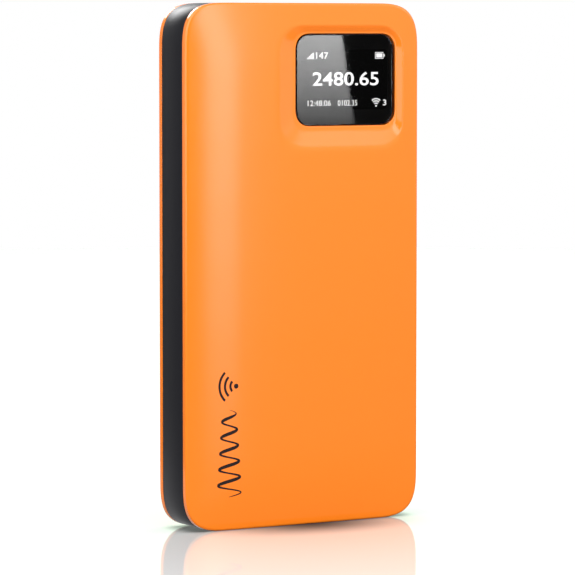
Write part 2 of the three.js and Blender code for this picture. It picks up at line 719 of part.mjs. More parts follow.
piece('antenna_carrier', 'black_plastic', antennaCarrier());
piece('lte_main_antenna', 'copper', lteMainAntenna());
piece('lte_diversity_antenna', 'copper', lteDiversityAntenna());
piece('wifi_antenna', 'copper', wifiAntenna());
piece('diversity_antenna_clip', 'gold', diversityAntennaClip());
piece('wifi_antenna_clip', 'gold', wifiAntennaClip());
piece('main_antenna_coax', 'black_wire', mainAntennaCoax());
piece('sub_rf_plug', 'gold', rod([-19, SUB_REAR + FACE_GAP, 9], [-19, -0.75, 9], 1.3));
piece('main_rf_plug', 'gold', rod([-24, 0.5, 95], [-24, BOARD_FRONT - FACE_GAP, 95], 1.3));

let shellScrewCount = 0;
for (const z of SHELL_SCREW_HEIGHTS) {
  for (const x of [-SHELL_SCREW_X, SHELL_SCREW_X]) {
    shellScrewCount += 1;
    piece(`front_shell_screw_${shellScrewCount}`, 'steel', screw(x, z, WEB_REAR + FACE_GAP, 1.7));
  }
}
BOARD_SCREWS.forEach(([x, z], i) => {
  piece(`board_screw_${i + 1}`, 'steel', screw(x, z, BOARD_REAR + FACE_GAP, 4));
});
SUB_SCREWS.forEach(([x, z], i) => {
  piece(`sub_board_screw_${i + 1}`, 'steel', screw(x, z, SUB_REAR + FACE_GAP, 1.9));
});

export default hotspot;
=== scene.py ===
"""Mobile hotspot: orange crowned shells on a black band, with a small display, in a white studio.

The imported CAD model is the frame. This script makes the fine shells, band, window, lit display and
printed mark around it, and gives every carried-over CAD node its own procedural material.
"""
import json
import math

import bmesh
import bpy
import numpy as np
from mathutils import Matrix, Vector


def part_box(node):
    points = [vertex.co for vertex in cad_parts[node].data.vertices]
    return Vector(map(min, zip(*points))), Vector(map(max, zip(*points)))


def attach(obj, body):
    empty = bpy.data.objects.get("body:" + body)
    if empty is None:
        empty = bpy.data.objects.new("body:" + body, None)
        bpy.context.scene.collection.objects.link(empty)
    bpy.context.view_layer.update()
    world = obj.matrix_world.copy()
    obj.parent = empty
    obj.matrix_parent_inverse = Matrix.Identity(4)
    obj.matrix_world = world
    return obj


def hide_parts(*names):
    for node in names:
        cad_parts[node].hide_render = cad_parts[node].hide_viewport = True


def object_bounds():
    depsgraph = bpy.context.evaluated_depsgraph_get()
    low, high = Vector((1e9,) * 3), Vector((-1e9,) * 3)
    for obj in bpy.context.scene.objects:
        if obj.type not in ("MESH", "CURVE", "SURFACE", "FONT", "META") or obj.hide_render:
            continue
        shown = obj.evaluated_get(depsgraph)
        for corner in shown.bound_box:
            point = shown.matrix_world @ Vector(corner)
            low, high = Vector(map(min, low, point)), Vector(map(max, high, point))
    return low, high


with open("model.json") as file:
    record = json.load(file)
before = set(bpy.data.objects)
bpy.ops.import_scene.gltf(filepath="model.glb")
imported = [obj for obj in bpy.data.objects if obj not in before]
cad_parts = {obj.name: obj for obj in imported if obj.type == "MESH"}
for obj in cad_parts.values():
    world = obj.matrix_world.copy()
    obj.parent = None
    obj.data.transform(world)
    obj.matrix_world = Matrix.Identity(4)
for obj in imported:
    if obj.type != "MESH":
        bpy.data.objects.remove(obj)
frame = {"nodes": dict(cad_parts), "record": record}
CAD_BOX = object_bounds()

# ------------------------------------------------------------------ sizes, in millimetres

MM = 0.001

# The body: its box, the seam between shells and band, and the profile and corners of the shells.
BOX_LOW, BOX_HIGH = CAD_BOX
WIDTH = (BOX_HIGH.x - BOX_LOW.x) / MM
HEIGHT = (BOX_HIGH.z - BOX_LOW.z) / MM
THICKNESS = (BOX_HIGH.y - BOX_LOW.y) / MM
BAND_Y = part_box("mid_frame")[1].y / MM
SEAM_Y = BAND_Y + 0.1
SIDE_WALL = 1.2
EDGE_RUN = 0.6
EDGE_RISE = 0.35
CROWN_RUN = 16.0
CROWN_RISE = THICKNESS / 2 - SEAM_Y - SIDE_WALL - EDGE_RISE
CORNER = 12.5
CORNER_POWER = 3.3
CORNER_LOSS = 0.45
SHELL_INNER_Y = THICKNESS / 2 - 1.5
SHELL_RIM = 3.5
LIP_OUTSET = 1.75
LIP_WALL = 0.6
BAND_WALL = 1.6

# Points along each straight side and round each corner of an outline.
SIDE_POINTS = 24
CORNER_POINTS = 18

# The display's window, the sunk tray round it and the ledge that holds it.
WINDOW = {"x": 12.3, "z": 109.24, "width": 28.4, "height": 22.4, "corner": 4.2, "power": 2.4}
SCOOP = {"x": 10.4, "z": 107.15, "width": 36.8, "height": 31.6, "corner": 8.0, "power": 2.4}
LEDGE = {"x": 12.3, "z": 109.24, "width": 25.8, "height": 15.8, "corner": 1.0, "power": 2.4}
SCOOP_FLOOR = -6.3
LEDGE_FRONT = -5.05
LEDGE_REAR = -4.4
LEDGE_WALL = 1.2
LENS_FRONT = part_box("display_window")[0].y / MM
LENS_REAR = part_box("display_window")[1].y / MM
LCD_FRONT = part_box("lcd_panel")[0].y / MM
WEB_FRONT = -4.7
WEB_REAR = -4.0

# The band and its posts. A front is the Y of a board's face, and posts are (x, z) pairs.
BAND_EDGE = 0.16
POST_RADIUS = 1.7
MAIN_BOARD_FRONT = 1.55
MAIN_BOARD_POSTS = ((-26.5, 89), (26.5, 89), (-26.5, 121), (-6, 121))
SUB_BOARD_FRONT = -2.65
SUB_BOARD_POSTS = ((-23, 7), (23, 7))

# Slots, holes and the button. Pairs are a slot's width and height, or a hole's x and y.
USB_SLOT = (9.4, 3.66)
TRAY_SLOT = (15.1, 2.7)
PINHOLE = (7, 0.75)
PINHOLE_RADIUS = 0.5
BUTTON_SLOT = (12.5, 3.1)
BUTTON_CAP = (12, 2.6)
BUTTON_FLANGE = (14.8, 3.4)
BUTTON_LINE = (4.2, 0.5)
FLANGE_INNER = 30.5
FLANGE_OUTER = 31.05
PIP_END = 30.15
PIP_RADIUS = 0.6
DISH_DEPTH = 0.45
DISH_ACROSS = 2.6
DISH_UP = 8.6

X, Y, Z = 0, 1, 2

# ------------------------------------------------------------------ outlines


def outline(x=0.0, z=HEIGHT / 2, width=WIDTH, height=HEIGHT, corner=CORNER, power=CORNER_POWER):
    """A closed outline with superellipse corners, counter-clockwise, as an (n, 2) array."""
    points = []
    for quarter, (sign_x, sign_z) in enumerate(((1, 1), (-1, 1), (-1, -1), (1, -1))):
        arc = []
        for step in range(CORNER_POINTS + 1):
            angle = step / CORNER_POINTS * math.pi / 2
            across = width / 2 - corner + corner * max(math.cos(angle), 0.0) ** (2 / power)
            up = height / 2 - corner + corner * math.sin(angle) ** (2 / power)
            arc.append((x + sign_x * across, z + sign_z * up))
        if quarter % 2:
            arc.reverse()
        points.append(arc)
    closed = []
    for quarter in range(4):
        arc = points[quarter]
        end, start = arc[-1], points[(quarter + 1) % 4][0]
        closed.extend(arc)
        for step in range(1, SIDE_POINTS):
            share = step / SIDE_POINTS
            closed.append(tuple(end[i] + (start[i] - end[i]) * share for i in (0, 1)))
    return np.array(closed)


def body_outline(inset):
    return outline(
        width=WIDTH - 2 * inset,
        height=HEIGHT - 2 * inset,
        corner=CORNER - CORNER_LOSS * inset,
    )


def grown(place, growth):
    return outline(
        place["x"],
        place["z"],
        place["width"] + 2 * growth,
        place["height"] + 2 * growth,
        max(place["corner"] + growth, 0.3),
        place["power"],
    )


def ring(points, y):
    """Puts an outline at a depth: one number, or one for each point."""
    depth = np.broadcast_to(np.asarray(y, float), len(points))
    return np.column_stack((points[:, 0], depth, points[:, 1]))


def inset_of(points):
    """How far inside the body's outline each point is, solved on the family of inset outlines."""
    across = np.abs(points[:, 0])
    up = np.abs(points[:, 1] - HEIGHT / 2)
    low = np.zeros(len(points))
    high = np.full(len(points), CROWN_RUN)
    for _ in range(40):
        middle = (low + high) / 2
        corner = CORNER - CORNER_LOSS * middle
        past_x = np.maximum(across - (WIDTH / 2 - middle - corner), 0) / corner
        past_z = np.maximum(up - (HEIGHT / 2 - middle - corner), 0) / corner
        inside = past_x**CORNER_POWER + past_z**CORNER_POWER <= 1
        low = np.where(inside, middle, low)
        high = np.where(inside, high, middle)
    return low


def face_rise(inset):
    """Height of the face over the seam: a straight wall, a small round edge, a long shallow crown."""
    edge = 1 - np.minimum(inset, EDGE_RUN) / EDGE_RUN
    crown = 1 - np.minimum(inset, CROWN_RUN) / CROWN_RUN
    return SIDE_WALL + EDGE_RISE * np.sqrt(1 - edge**2) + CROWN_RISE * (1 - crown**2)


def crown_depth(points):
    """Depth of the crowned face beyond the seam, from the distance to the edge."""
    return face_rise(inset_of(points))


# ------------------------------------------------------------------ meshes


def make_object(name, vertices, faces, sharp=35.0):
    mesh = bpy.data.meshes.new(name)
    mesh.from_pydata([tuple(v * MM for v in p) for p in vertices], [], faces)
    mesh.validate()
    mesh.polygons.foreach_set("use_smooth", [True] * len(mesh.polygons))
    mesh.set_sharp_from_angle(angle=math.radians(sharp))
    mesh.update()
    obj = bpy.data.objects.new(name, mesh)
    bpy.context.scene.collection.objects.link(obj)
    return obj


def ring_faces(ring_count, count, loop=False, first=0):
    faces = []
    for level in range(ring_count if loop else ring_count - 1):
        a = first + level * count
        b = first + (level + 1) % ring_count * count
        for i in range(count):
            j = (i + 1) % count
            faces.append((a + i, b + i, b + j, a + j))
    return faces


def rings_object(name, rings, loop=False, sharp=35.0):
    """A solid through rings of equal size: a closed loop of rings, or a stack with capped ends."""
    count = len(rings[0])
    vertices = np.vstack(rings)
    faces = ring_faces(len(rings), count, loop)
    if not loop:
        faces.append(tuple(range(count)))
        last = (len(rings) - 1) * count
        faces.append(tuple(last + i for i in reversed(range(count))))
    return make_object(name, vertices, faces, sharp)


def join(name, objects):
    """Joins objects into one piece."""
    vertices, faces, start = [], [], 0
    for obj in objects:
        vertices.extend(tuple(c / MM for c in v.co) for v in obj.data.vertices)
        faces.extend(tuple(start + i for i in p.vertices) for p in obj.data.polygons)
        start += len(obj.data.vertices)
        bpy.data.objects.remove(obj)
    return make_object(name, vertices, faces)


def cut(obj, cutters):
    """Subtracts the cutters from a piece and applies the result."""
    for cutter in cutters:
        modifier = obj.modifiers.new("cut", "BOOLEAN")
        modifier.operation = "DIFFERENCE"
        modifier.solver = "EXACT"
        modifier.object = cutter
    graph = bpy.context.evaluated_depsgraph_get()
    mesh = bpy.data.meshes.new_from_object(obj.evaluated_get(graph))
    obj.modifiers.clear()
    obj.data = mesh
    mesh.polygons.foreach_set("use_smooth", [True] * len(mesh.polygons))
    mesh.set_sharp_from_angle(angle=math.radians(30))
    for cutter in cutters:
        bpy.data.objects.remove(cutter)
    return obj


def stadium(width, height, steps=16):
    """A slot outline with round ends, as (across, up) pairs, counter-clockwise."""
    radius = height / 2
    reach = width / 2 - radius
    points = []
    for side, turn in ((1, -math.pi / 2), (-1, math.pi / 2)):
        for step in range(steps + 1):
            angle = turn + math.pi * step / steps
            points.append((side * reach + radius * math.cos(angle), radius * math.sin(angle)))
    return np.array(points)


def slot_stack(name, width, height, levels, place, axis):
    """A stack of slot outlines along an axis. levels holds (growth, position) pairs."""
    rings = []
    for growth, position in levels:
        flat = stadium(width + 2 * growth, height + 2 * growth)
        if axis == "z":
            points = [(place[0] + a, place[1] + b, position) for a, b in flat]
        else:
            points = [(position, place[0] + b, place[1] + a) for a, b in flat]
        rings.append(np.array(points))
    obj = rings_object(name, rings)
    fix_normals(obj)
    return obj


def fix_normals(obj):
    """Turns every face outwards."""
    shape = bmesh.new()
    shape.from_mesh(obj.data)
    bmesh.ops.recalc_face_normals(shape, faces=shape.faces)
    shape.to_mesh(obj.data)
    shape.free()
    return obj


def cylinder(name, start, end, radius, sides=32):
    """A round rod between two points, in millimetres."""
    start, end = Vector(start), Vector(end)
    run = (end - start).normalized()
    turn = Vector((0, 0, 1)).rotation_difference(run)
    rings = []
    for centre in (start, end):
        points = []
        for i in range(sides):
            angle = 2 * math.pi * i / sides
            spoke = turn @ Vector((radius * math.cos(angle), radius * math.sin(angle), 0))
            points.append(tuple(centre + spoke))
        rings.append(np.array(points))
    return fix_normals(rings_object(name, rings))


# ------------------------------------------------------------------ shells and band


def ramp(share, ease_in=0.3, ease_out=0.2):
    """Goes from 0 to 1 at a steady rate, with a rounded start and a rounded end."""
    top = 1 / (1 - ease_in / 2 - ease_out / 2)
    if share < ease_in:
        return top * share**2 / (2 * ease_in)
    if share < 1 - ease_out:
        return top * (share - ease_in / 2)
    return 1 - top * (1 - share) ** 2 / (2 * ease_out)


def edge_levels():
    """The shell's edge from the seam to the crown, as (inset, rise over the seam) pairs."""
    levels = [(0.12, 0.0), (0.035, 0.035), (0.0, 0.12), (0.0, 0.2), (0.0, SIDE_WALL - 0.08)]
    steps = 9
    for step in range(steps + 1):
        inset = EDGE_RUN * (1 - math.cos(math.pi / 2 * step / steps))
        levels.append((inset, float(face_rise(inset))))
    return levels


def crown_rings_to(target, count):
    """Rings from the round edge to a target outline, close together where the crown curves."""
    edge = body_outline(EDGE_RUN)
    reach = inset_of(target)
    reach = np.where(reach >= CROWN_RUN - 0.01, flat_reach(target), reach)
    flat_rate = 0.35

    def crowded(inset):
        return np.minimum(inset, CROWN_RUN) + flat_rate * np.maximum(inset - CROWN_RUN, 0)

    def spread(place):
        return np.minimum(place, CROWN_RUN) + np.maximum(place - CROWN_RUN, 0) / flat_rate

    first, last = EDGE_RUN, crowded(reach)
    rings = []
    for step in range(1, count + 1):
        inset = spread(first + (last - first) * step / count)
        share = np.clip((inset - EDGE_RUN) / (reach - EDGE_RUN), 0, 1)[:, None]
        rings.append(edge + (target - edge) * share)
    return rings


def flat_reach(target):
    """Plain distance from the nearest straight edge, for points past the crown."""
    across = WIDTH / 2 - np.abs(target[:, 0])
    up = HEIGHT / 2 - np.abs(target[:, 1] - HEIGHT / 2)
    return np.minimum(across, up)


def front_shell():
    rings = [ring(body_outline(inset), -SEAM_Y - rise) for inset, rise in edge_levels()]
    scoop_edge = grown(SCOOP, 0)
    for points in crown_rings_to(scoop_edge, 54):
        rings.append(ring(points, -SEAM_Y - crown_depth(points)))
    window_edge = grown(WINDOW, 0.3)
    steps = 22
    for step in range(1, steps + 1):
        share = step / steps
        points = scoop_edge + (window_edge - scoop_edge) * share
        surface = -SEAM_Y - crown_depth(points)
        sunk = ramp(share)
        rings.append(ring(points, surface * (1 - sunk) + SCOOP_FLOOR * sunk))
    rings.append(ring(grown(WINDOW, 0.19), SCOOP_FLOOR + 0.03))
    rings.append(ring(grown(WINDOW, 0.13), SCOOP_FLOOR + 0.12))
    rings.append(ring(grown(WINDOW, 0.12), LEDGE_FRONT))
    rings.append(ring(grown(LEDGE, 0), LEDGE_FRONT))
    rings.append(ring(grown(LEDGE, 0), LEDGE_REAR))
    rings.append(ring(grown(WINDOW, LEDGE_WALL), LEDGE_REAR))
    rings.append(ring(grown(WINDOW, LEDGE_WALL), -SHELL_INNER_Y))
    rings.append(ring(body_outline(SHELL_RIM), -SHELL_INNER_Y))
    rings.append(ring(body_outline(SHELL_RIM), -SEAM_Y))
    rings += lip_rings(-1, 0.35)
    shell = fix_normals(rings_object("front_shell_fine", rings, loop=True, sharp=40))
    return finish_piece(shell, "housing", "orange_shell", orange_plastic(), "front_shell")


def lip_rings(side, depth):
    """The thin lip that reaches into the band, as rings from the inside out."""
    inner, outer = body_outline(LIP_OUTSET + LIP_WALL), body_outline(LIP_OUTSET)
    seam, end = side * SEAM_Y, side * (SEAM_Y - depth)
    return [ring(inner, seam), ring(inner, end), ring(outer, end), ring(outer, seam)]


def rear_shell():
    rings = [ring(body_outline(14), SHELL_INNER_Y), ring(body_outline(SHELL_RIM), SHELL_INNER_Y)]
    rings.append(ring(body_outline(SHELL_RIM), SEAM_Y))
    rings += lip_rings(1, 0.9)
    rings += [ring(body_outline(inset), SEAM_Y + rise) for inset, rise in edge_levels()]
    steps = 32
    for step in range(1, steps + 1):
        inset = EDGE_RUN + (CROWN_RUN - EDGE_RUN) * step / steps
        rings.append(ring(body_outline(inset), SEAM_Y + face_rise(inset)))
    rings.append(ring(body_outline(CROWN_RUN + 0.6), THICKNESS / 2))
    shell = fix_normals(rings_object("rear_shell_fine", rings, sharp=40))
    return finish_piece(shell, "housing", "orange_shell", orange_plastic(), "rear_shell")


def band():
    """The black middle band with its ports, the web behind the display and the screw posts."""
    bevel = BAND_EDGE * 0.3
    inner = body_outline(BAND_WALL)
    loop = [
        ring(body_outline(BAND_EDGE), -BAND_Y),
        ring(body_outline(bevel), -BAND_Y + bevel),
        ring(body_outline(0), -BAND_Y + BAND_EDGE),
        ring(body_outline(0), BAND_Y - BAND_EDGE),
        ring(body_outline(bevel), BAND_Y - bevel),
        ring(body_outline(BAND_EDGE), BAND_Y),
        ring(inner, BAND_Y),
        ring(inner, -BAND_Y),
    ]
    wall = fix_normals(rings_object("band_wall", loop, loop=True))
    cut(wall, port_cutters())
    piece = join("mid_frame_fine", [wall, display_web(), *screw_posts()])
    return finish_piece(piece, "housing", "black_band", band_plastic(), "mid_frame")


def display_web():
    """The thin web across the band, open behind the display."""
    edge = body_outline(BAND_WALL + 0.01)
    hole = grown(WINDOW, LEDGE_WALL + 0.5)
    rings = [ring(edge, WEB_FRONT), ring(edge, WEB_REAR), ring(hole, WEB_REAR), ring(hole, WEB_FRONT)]
    return fix_normals(rings_object("band_web", rings, loop=True))


def screw_posts():
    """The posts on the web that the two boards rest on."""
    posts = []
    for places, end in ((MAIN_BOARD_POSTS, MAIN_BOARD_FRONT), (SUB_BOARD_POSTS, SUB_BOARD_FRONT)):
        for x, z in places:
            posts.append(cylinder("post", (x, WEB_REAR, z), (x, end, z), POST_RADIUS, 24))
    return posts


def centre_of(node, *axes):
    """The middle of a CAD node's box along some axes, in millimetres."""
    low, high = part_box(node)
    return tuple((low[axis] + high[axis]) / 2 / MM for axis in axes)


def port_cutters():
    """The cutters for the port, the tray's slot, the finger dish, the button's slot and the pinhole."""
    tray = centre_of("sim_tray", X, Y)
    button = centre_of("power_button", Y, Z)
    side = WIDTH / 2
    usb_levels = [(0.4, -0.1), (0.3, 0.0), (0.0, 0.3), (0.0, 2.0)]
    tray_levels = [(0, HEIGHT - 2.1), (0, HEIGHT - 0.15), (0.15, HEIGHT + 0.1)]
    button_levels = [(0, side - 2.0), (0, side - 0.4), (0.3, side + 0.1)]
    return [
        slot_stack("usb_cut", *USB_SLOT, usb_levels, (0, 0), "z"),
        slot_stack("sim_cut", *TRAY_SLOT, tray_levels, tray, "z"),
        dish_cutter(*button),
        slot_stack("button_cut", *BUTTON_SLOT, button_levels, button, "x"),
        cylinder("hole_cut", (*PINHOLE, HEIGHT - 2.1), (*PINHOLE, HEIGHT + 0.5), PINHOLE_RADIUS, 24),
    ]


def dish_cutter(y, z):
    """A flat ellipsoid on the band's side, for the shallow finger dish round the power button."""
    steps, sides = 12, 48
    rings = []
    for step in range(1, steps):
        angle = math.pi * step / steps
        x = WIDTH / 2 + DISH_DEPTH * math.cos(angle)
        across, up = DISH_ACROSS * math.sin(angle), DISH_UP * math.sin(angle)
        turns = [2 * math.pi * i / sides for i in range(sides)]
        rings.append(np.array([(x, y + across * math.cos(a), z + up * math.sin(a)) for a in turns]))
    return fix_normals(rings_object("dish_cut", rings))


# ------------------------------------------------------------------ small moving parts


def power_button():
    """The bar that is pressed, the flange that holds it in, the pip behind it and the line on it."""
    place = centre_of("power_button", Y, Z)
    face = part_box("power_button")[1].x / MM
    shoulder = WIDTH / 2 - 2
    cap_levels = [(0, shoulder), (0, face - 0.3), (-0.05, face - 0.12), (-0.2, face)]
    line_levels = [(0, face - 0.06), (-0.08, face + 0.04)]
    flange_levels = [(0, FLANGE_INNER), (0, FLANGE_OUTER)]
    parts = [
        slot_stack("cap", *BUTTON_CAP, cap_levels, place, "x"),
        slot_stack("flange", *BUTTON_FLANGE, flange_levels, place, "x"),
        cylinder("pip", (PIP_END, *place), (FLANGE_INNER + 0.1, *place), PIP_RADIUS),
        slot_stack("line", *BUTTON_LINE, line_levels, place, "x"),
    ]
    piece = join("power_button_fine", parts)
    return finish_piece(piece, "power_button", "black_band", button_plastic(), "power_button")


# ------------------------------------------------------------------ display


def display_window():
    rings = [ring(grown(WINDOW, 0), LENS_REAR)]
    edge = 0.16
    rings.append(ring(grown(WINDOW, 0), LENS_FRONT + edge))
    rings.append(ring(grown(WINDOW, -edge * 0.3), LENS_FRONT + edge * 0.3))
    rings.append(ring(grown(WINDOW, -edge), LENS_FRONT))
    rings.append(ring(grown(WINDOW, -edge - 0.2), LENS_FRONT))
    rings.append(ring(grown(WINDOW, -edge - 0.4), LENS_FRONT))
    lens = fix_normals(rings_object("display_window_fine", rings, sharp=30))
    return finish_piece(lens, "housing", "glass", window_glass(), "display_window")


def flat_patch(points, y, thickness=0.03):
    """A thin closed solid from an outline of (x, z) pairs, facing the front."""
    count = len(points)
    vertices = [(x, y, z) for x, z in points] + [(x, y + thickness, z) for x, z in points]
    faces = [tuple(range(count)), tuple(reversed(range(count, 2 * count)))]
    for i in range(count):
        j = (i + 1) % count
        faces.append((i, i + count, j + count, j))
    return vertices, faces


def rounded_bar(x0, z0, x1, z1, radius):
    """Outline of a bar with rounded corners."""
    points = []
    corners = ((x1, z0, -90), (x1, z1, 0), (x0, z1, 90), (x0, z0, 180))
    for x, z, start in corners:
        centre_x = x - radius if x == x1 else x + radius
        centre_z = z - radius if z == z1 else z + radius
        for step in range(5):
            angle = math.radians(start + 90 * step / 4)
            points.append((centre_x + radius * math.cos(angle), centre_z + radius * math.sin(angle)))
    return points


def arc_band(x, z, inner, outer, start, end, steps=14):
    """Outline of a stretch of a ring round a point, between two angles in degrees."""
    points = []
    for radius, order in ((outer, range(steps + 1)), (inner, range(steps, -1, -1))):
        for step in order:
            angle = math.radians(start + (end - start) * step / steps)
            points.append((x + radius * math.cos(angle), z + radius * math.sin(angle)))
    return points


def disc(x, z, radius, steps=20):
    turns = [2 * math.pi * i / steps for i in range(steps)]
    return [(x + radius * math.cos(a), z + radius * math.sin(a)) for a in turns]


def patches(name, outlines, y, thickness=0.03):
    """One piece from many thin outlines."""
    vertices, faces = [], []
    for points in outlines:
        more, sides = flat_patch(points, y, thickness)
        start = len(vertices)
        vertices.extend(more)
        faces.extend(tuple(start + i for i in f) for f in sides)
    return fix_normals(make_object(name, vertices, faces))


def digits(name, text, x, z, height, width, y, weight=0.0):
    """Numbers as thin solids, set from x to x + width with their feet at z."""
    curve = bpy.data.curves.new(name, "FONT")
    curve.body = text
    curve.offset = weight
    curve.resolution_u = 4
    holder = bpy.data.objects.new(name, curve)
    bpy.context.scene.collection.objects.link(holder)
    graph = bpy.context.evaluated_depsgraph_get()
    mesh = bpy.data.meshes.new_from_object(holder.evaluated_get(graph))
    bpy.data.objects.remove(holder)
    places = np.array([v.co for v in mesh.vertices])
    low, high = places.min(0), places.max(0)
    scale = np.array([width, height]) / (high - low)[:2]
    flat = (places[:, :2] - low[:2]) * scale + (x, z)
    faces = [tuple(p.vertices) for p in mesh.polygons]
    count = len(flat)
    vertices = [(a, y, b) for a, b in flat] + [(a, y + 0.03, b) for a, b in flat]
    edges = {}
    for face in faces:
        for i, a in enumerate(face):
            b = face[(i + 1) % len(face)]
            edges[(a, b)] = edges.get((a, b), 0) + 1
    solid = [f for f in faces] + [tuple(count + i for i in reversed(f)) for f in faces]
    solid += [(b, a, a + count, b + count) for a, b in edges if (b, a) not in edges]
    return fix_normals(make_object(name, vertices, solid))


def battery_outline(x0, z0, x1, z1, line):
    """The four sides of a battery icon's frame."""
    return (
        (x0, z0, x1, z0 + line),
        (x0, z1 - line, x1, z1),
        (x0, z0 + line, x0 + line, z1 - line),
        (x1 - line, z0 + line, x1, z1 - line),
    )


def signal_bars(x, z):
    """Four bars, each taller than the one before it."""
    shapes = []
    for i in range(4):
        left = x + 0.5 * i
        shapes.append(rounded_bar(left, z, left + 0.32, z + 0.35 + 0.4 * i, 0.06))
    return shapes


def battery_icon(x, z):
    """The charge, the cap and the frame of a battery icon, from its lower left corner."""
    shapes = [
        rounded_bar(x + 0.35, z + 0.3, x + 2.05, z + 1.3, 0.08),
        rounded_bar(x + 2.5, z + 0.5, x + 2.75, z + 1.1, 0.08),
    ]
    for sides in battery_outline(x, z, x + 2.4, z + 1.6, 0.13):
        shapes.append(rounded_bar(*sides, 0.05))
    return shapes


def arcs_icon(x, z):
    """Three arcs over a dot."""
    shapes = [arc_band(x, z, radius - 0.12, radius + 0.12, 48, 132) for radius in (0.7, 1.25, 1.8)]
    shapes.append(disc(x, z, 0.22))
    return shapes


def display_content():
    """What the display shows: icons and generic numbers, in three rows."""
    y = LCD_FRONT - 0.05
    top, middle, low = 114.35, 107.75, 102.8
    icons = signal_bars(2.5, top - 0.05) + battery_icon(22.0, top) + arcs_icon(22.3, low - 0.15)
    pieces = [
        patches("display_icons", icons, y),
        digits("display_channel", "147", 5.0, top, 1.6, 3.4, y, -0.004),
        digits("display_number", "2480.65", 4.0, middle, 3.35, 19.0, y, 0.008),
        digits("display_clock", "12:48:06", 2.6, low, 1.35, 6.6, y, -0.008),
        digits("display_used", "0102.35", 11.2, low, 1.35, 5.6, y, -0.008),
        digits("display_count", "3", 24.3, low - 0.05, 1.45, 0.95, y, 0.004),
    ]
    for piece in pieces:
        finish_piece(piece, "housing", "lcd_glass", lit_pixels())


def print_mask():
    """The black print behind the window, open where the display shows."""
    outer = grown(WINDOW, -0.25)
    opening = {**LEDGE, "width": 24.6, "height": 14.8}
    inner = grown(opening, 0)
    front, rear = LENS_REAR + 0.01, LENS_REAR + 0.04
    loop = [ring(outer, front), ring(outer, rear), ring(inner, rear), ring(inner, front)]
    mask = fix_normals(rings_object("window_print_mask", loop, loop=True))
    return finish_piece(mask, "housing", "glass", print_ink("window_ink", (0.004, 0.004, 0.005)))


def wave_band(x, z_from, z_to, turns, reach_from, reach_to, steps=220):
    """Outline of a pen-like wave that runs up the face, thick one way and thin on its way back."""
    thin, thick = 0.2, 0.42
    tip, taper = 0.15, 8
    left, right = [], []
    for step in range(steps + 1):
        share = step / steps
        reach = reach_from + (reach_to - reach_from) * share
        angle = 2 * math.pi * turns * share
        slope = math.cos(angle)
        half = thin + (thick - thin) * (1 + slope) / 2
        half *= min(1, taper * share + tip, taper * (1 - share) + tip)
        run = Vector((reach * slope * 2 * math.pi * turns, z_to - z_from)).normalized()
        centre = Vector((x + reach * math.sin(angle), z_from + (z_to - z_from) * share))
        side = Vector((run.y, -run.x)) * half
        left.append(tuple(centre - side))
        right.insert(0, tuple(centre + side))
    return left + right


def lay_on_face(obj, lift):
    """Cuts a flat print into fine strips and presses it on the crowned face."""
    shape = bmesh.new()
    shape.from_mesh(obj.data)
    for axis, step in ((Vector((1, 0, 0)), 0.4), (Vector((0, 0, 1)), 1.0)):
        places = [v.co.dot(axis) / MM for v in shape.verts]
        for i in range(math.ceil(min(places) / step), math.floor(max(places) / step) + 1):
            everything = shape.verts[:] + shape.edges[:] + shape.faces[:]
            bmesh.ops.bisect_plane(shape, geom=everything, plane_co=axis * i * step * MM, plane_no=axis)
    front = min(v.co.y for v in shape.verts)
    flat = np.array([(v.co.x / MM, v.co.z / MM) for v in shape.verts])
    surface = -SEAM_Y - crown_depth(flat)
    for vertex, depth in zip(shape.verts, surface):
        outside = vertex.co.y < front + 0.001 * MM
        vertex.co.y = (depth - lift if outside else depth + lift) * MM
    shape.to_mesh(obj.data)
    shape.free()
    obj.data.polygons.foreach_set("use_smooth", [False] * len(obj.data.polygons))
    return obj


def front_mark():
    """A generic printed mark, low on the left: a pen-like wave, a fan of arcs and a dot."""
    lift = 0.03
    shapes = [wave_band(x=-21.2, z_from=8.2, z_to=29.5, turns=5.5, reach_from=3.3, reach_to=1.8)]
    fan = (-19.3, 35.2)
    for radius in (1.6, 3.1, 4.6):
        shapes.append(arc_band(*fan, radius - 0.3, radius + 0.3, 132, 228, 24))
    shapes.append(disc(*fan, 0.62))
    mark = lay_on_face(patches("printed_mark", shapes, -THICKNESS / 2), lift)
    return finish_piece(mark, "housing", "black_band", print_ink("mark_ink", (0.012, 0.008, 0.007)))


# ------------------------------------------------------------------ materials

MATERIALS = {}

# For each slot of a hidden part: colour, roughness, metallic, grain, bump and tint.
INNER_FINISHES = {
    "white_plastic": ((0.78, 0.78, 0.75), 0.45, 0, 0.4, 0.003, 0.03),
    "black_plastic": ((0.014, 0.014, 0.016), 0.5, 0, 0.3, 0.004, 0.1),
    "foam": ((0.02, 0.02, 0.024), 0.95, 0, 0.15, 0.05, 0.2),
    "tape": ((0.66, 0.62, 0.5), 0.7, 0, 0.5, 0.01, 0.06),
    "steel": ((0.62, 0.62, 0.64), 0.3, 1, 0.5, 0.002, 0.08),
    "solder_mask": ((0.006, 0.085, 0.04), 0.3, 0, 0.6, 0.006, 0.2),
    "flex": ((0.42, 0.15, 0.02), 0.35, 0, 0.5, 0.004, 0.12),
    "thermal": ((0.22, 0.27, 0.34), 0.85, 0, 0.3, 0.02, 0.1),
    "battery_wrap": ((0.05, 0.07, 0.1), 0.35, 0, 0.8, 0.01, 0.1),
    "copper": ((0.72, 0.33, 0.16), 0.3, 1, 0.4, 0.002, 0.1),
    "gold": ((0.83, 0.6, 0.24), 0.28, 1, 0.4, 0.002, 0.06),
    "red_wire": ((0.5, 0.015, 0.02), 0.4, 0, 0.3, 0.004, 0.08),
    "black_wire": ((0.01, 0.01, 0.012), 0.4, 0, 0.3, 0.004, 0.1),
    "white_wire": ((0.75, 0.73, 0.66), 0.4, 0, 0.3, 0.004, 0.05),
}


